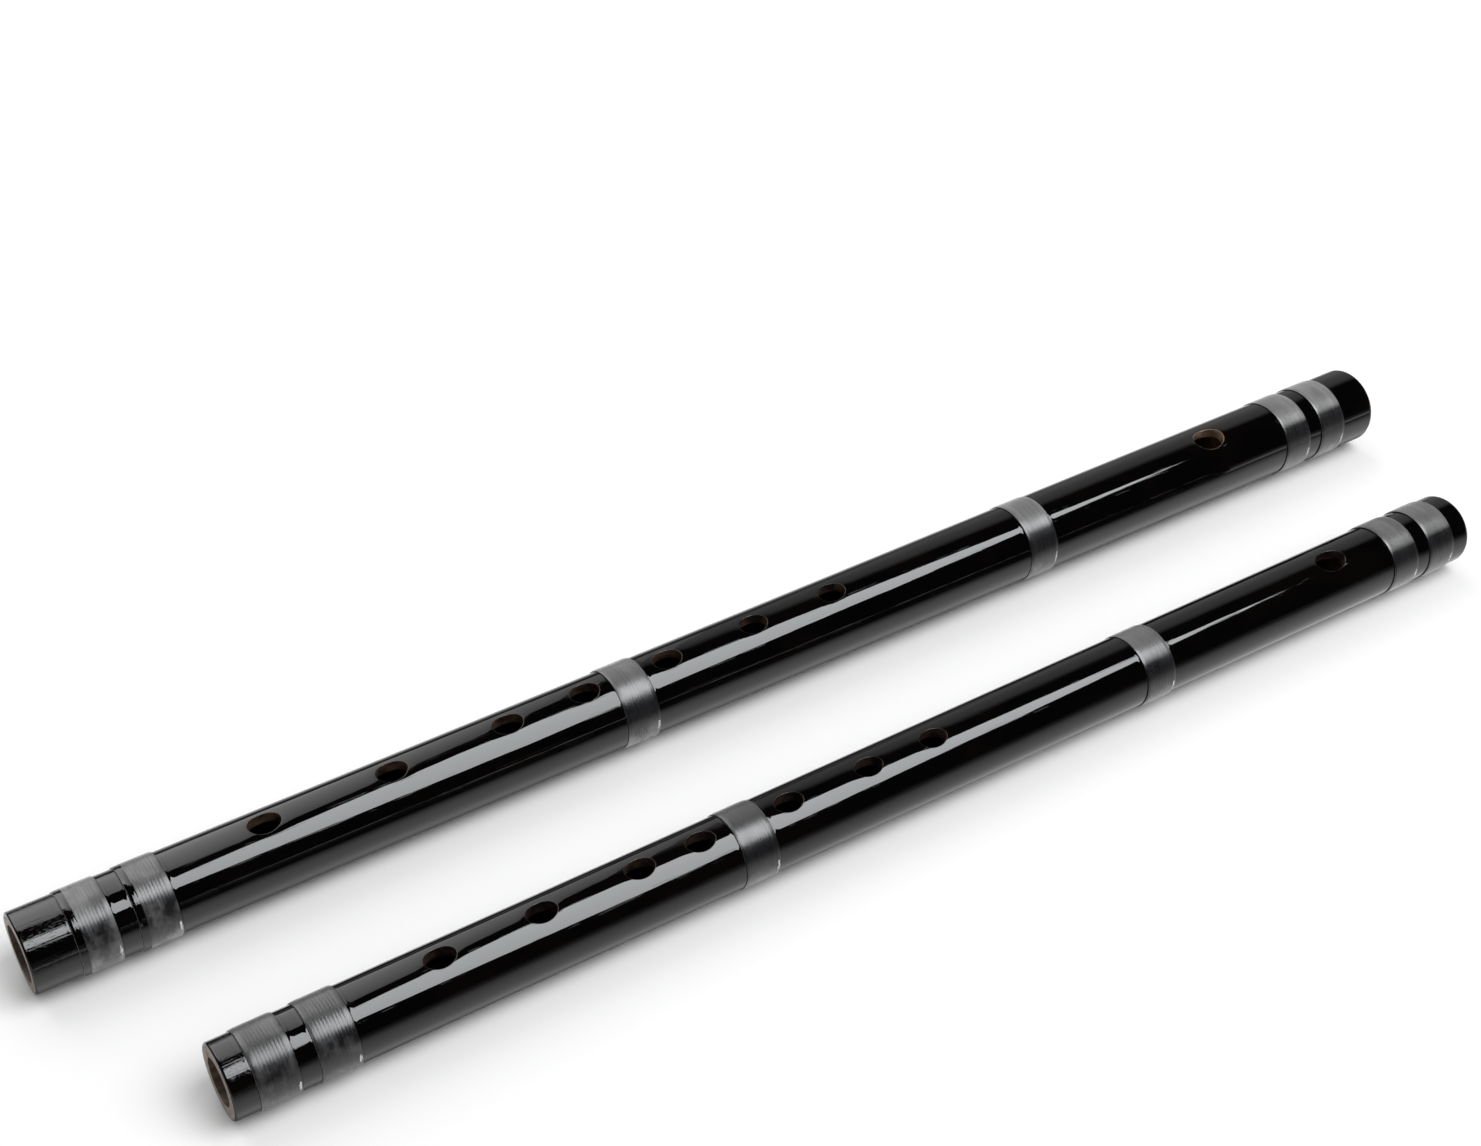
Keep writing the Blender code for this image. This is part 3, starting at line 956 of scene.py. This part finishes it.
def glow_material(name):
    """A bare emission material. Returns it with its node tree and emission node."""
    material = bpy.data.materials.new(name)
    material.use_nodes = True
    tree = material.node_tree
    tree.nodes.clear()
    out = tree.nodes.new("ShaderNodeOutputMaterial")
    emission = tree.nodes.new("ShaderNodeEmission")
    tree.links.new(emission.outputs[0], out.inputs["Surface"])
    return material, tree, emission


def only_in_gloss(obj):
    obj.visible_camera = False
    obj.visible_diffuse = False
    obj.visible_shadow = False


def add_face(name, corners, colour, near, far, side_from=1.0, side_level=1.0):
    """A soft face whose strength goes from near at its first edge to far at the third.

    From side_from of its width to the whole of it, it also fades to side_level.
    """
    material, tree, emission = glow_material(name)
    emission.inputs["Color"].default_value = (*colour, 1.0)
    coords = tree.nodes.new("ShaderNodeTexCoord")
    parts = tree.nodes.new("ShaderNodeSeparateXYZ")
    tree.links.new(coords.outputs["UV"], parts.inputs[0])
    ramps = []
    fades = (("Y", 0.0, near, far), ("X", min(side_from, 0.99), 1.0, side_level))
    for axis, start, low, high in fades:
        ramp = tree.nodes.new("ShaderNodeMapRange")
        ramp.inputs["From Min"].default_value = start
        ramp.inputs["To Min"].default_value = low
        ramp.inputs["To Max"].default_value = high
        tree.links.new(parts.outputs[axis], ramp.inputs["Value"])
        ramps.append(ramp)
    product = tree.nodes.new("ShaderNodeMath")
    product.operation = "MULTIPLY"
    tree.links.new(ramps[0].outputs["Result"], product.inputs[0])
    tree.links.new(ramps[1].outputs["Result"], product.inputs[1])
    tree.links.new(product.outputs[0], emission.inputs["Strength"])
    obj = add_stage(name, [studio_point(*corner) for corner in corners], [(0, 1, 2, 3)], material)
    layer = obj.data.uv_layers.new(name="UVMap")
    for loop, uv in zip(layer.data, ((0, 0), (1, 0), (1, 1), (0, 1))):
        loop.uv = uv
    only_in_gloss(obj)


def add_room():
    """The dim studio round the set: nearly black, but greyer behind the part on the right."""
    material, tree, emission = glow_material("room")
    coords = tree.nodes.new("ShaderNodeTexCoord")
    unit = tree.nodes.new("ShaderNodeVectorMath")
    unit.operation = "NORMALIZE"
    tree.links.new(coords.outputs["Object"], unit.inputs[0])
    dot = tree.nodes.new("ShaderNodeVectorMath")
    dot.operation = "DOT_PRODUCT"
    dot.inputs[1].default_value = Vector(ROOM_GREY_SIDE).normalized()
    tree.links.new(unit.outputs[0], dot.inputs[0])
    ramp = tree.nodes.new("ShaderNodeMapRange")
    ramp.interpolation_type = "SMOOTHSTEP"
    limits = (("From Min", 0.86), ("From Max", 0.96), ("To Min", 0.008), ("To Max", 0.42))
    for socket, value in limits:
        ramp.inputs[socket].default_value = value
    tree.links.new(dot.outputs["Value"], ramp.inputs["Value"])
    tree.links.new(ramp.outputs["Result"], emission.inputs["Strength"])
    points = []
    faces = []
    bands = ROOM_BANDS
    for j in range(bands + 1):
        tilt = math.pi * j / bands
        for k in range(bands):
            turn = math.tau * k / bands
            level = ROOM_RADIUS * math.sin(tilt)
            height = ROOM_RADIUS * math.cos(tilt)
            points.append((level * math.cos(turn), level * math.sin(turn), height))
    for j in range(bands):
        for k in range(bands):
            n = (k + 1) % bands
            low = j * bands
            high = low + bands
            faces.append((low + k, low + n, high + n, high + k))
    only_in_gloss(add_stage("room", points, faces, material))


def add_world():
    """White where it is looked at, also in gloss and glass, and a plain fill for the rest."""
    world = bpy.data.worlds.new("studio")
    bpy.context.scene.world = world
    world.use_nodes = True
    tree = world.node_tree
    tree.nodes.clear()
    out = tree.nodes.new("ShaderNodeOutputWorld")
    backgrounds = []
    for strength in (WORLD_FILL, 1.0):
        node = tree.nodes.new("ShaderNodeBackground")
        node.inputs["Color"].default_value = (1.0, 1.0, 1.0, 1.0)
        node.inputs["Strength"].default_value = strength
        backgrounds.append(node)
    paths = tree.nodes.new("ShaderNodeLightPath")
    seen = paths.outputs["Is Camera Ray"]
    for label in ("Is Glossy Ray", "Is Transmission Ray"):
        either = tree.nodes.new("ShaderNodeMath")
        either.operation = "MAXIMUM"
        tree.links.new(seen, either.inputs[0])
        tree.links.new(paths.outputs[label], either.inputs[1])
        seen = either.outputs[0]
    mix = tree.nodes.new("ShaderNodeMixShader")
    tree.links.new(seen, mix.inputs[0])
    tree.links.new(backgrounds[0].outputs[0], mix.inputs[1])
    tree.links.new(backgrounds[1].outputs[0], mix.inputs[2])
    tree.links.new(mix.outputs[0], out.inputs["Surface"])


def add_lamp(name, spot, width, depth, power):
    """A soft lamp that lights the matt surfaces and casts the soft shadows."""
    data = bpy.data.lights.new(name, "AREA")
    data.shape = "RECTANGLE"
    data.size = width * MM
    data.size_y = depth * MM
    data.energy = power
    obj = bpy.data.objects.new(name, data)
    bpy.context.scene.collection.objects.link(obj)
    obj.location = studio_point(*spot)
    obj.rotation_euler = (-obj.location).to_track_quat("-Z", "Y").to_euler()
    obj.visible_glossy = False
    obj.visible_camera = False


signs = ((-1, -1), (1, -1), (1, 1), (-1, 1))
corners = [(x * FLOOR_REACH, y * FLOOR_REACH, 0.0) for x, y in signs]
add_stage("floor", corners, [(0, 1, 2, 3)], floor_material())
add_face(
    "key_face",
    [(-1100, 300, 1500), (-1100, 1620, 1500), (322, 1400, 1500), (236, 280, 1500)],
    (0.95, 0.98, 1.0), 8.2, 9.6,
)
add_face(
    "back_face",
    [(225, -1400, 1500), (225, 20, 1500), (1500, -260, 260), (1500, -1400, 260)],
    (1.0, 1.0, 1.0), 4.6, 1.5, 0.6, 0.28,
)
add_room()
add_world()
add_lamp("key_lamp", (-320, 930, 1500), 1340, 1550, 27.0)
add_lamp("back_lamp", (860, -680, 900), 1300, 1700, 7.5)


# Camera

CAMERA_PLACE = (-0.2448, -0.3181, 0.3388)
CAMERA_PITCH = math.radians(36.15)
CAMERA_LENS = 52.17

data = bpy.data.cameras.new("camera")
data.sensor_fit = "HORIZONTAL"
data.sensor_width = 36.0
data.lens = CAMERA_LENS
data.clip_start = 0.01
data.clip_end = 50.0
camera = bpy.data.objects.new("camera", data)
bpy.context.scene.collection.objects.link(camera)
look = HEADING.normalized() * math.cos(CAMERA_PITCH) - Vector((0.0, 0.0, math.sin(CAMERA_PITCH)))
camera.location = CAMERA_PLACE
camera.rotation_euler = look.to_track_quat("-Z", "Y").to_euler()
bpy.context.scene.camera = camera
bpy.context.scene.view_settings.view_transform = "Standard"
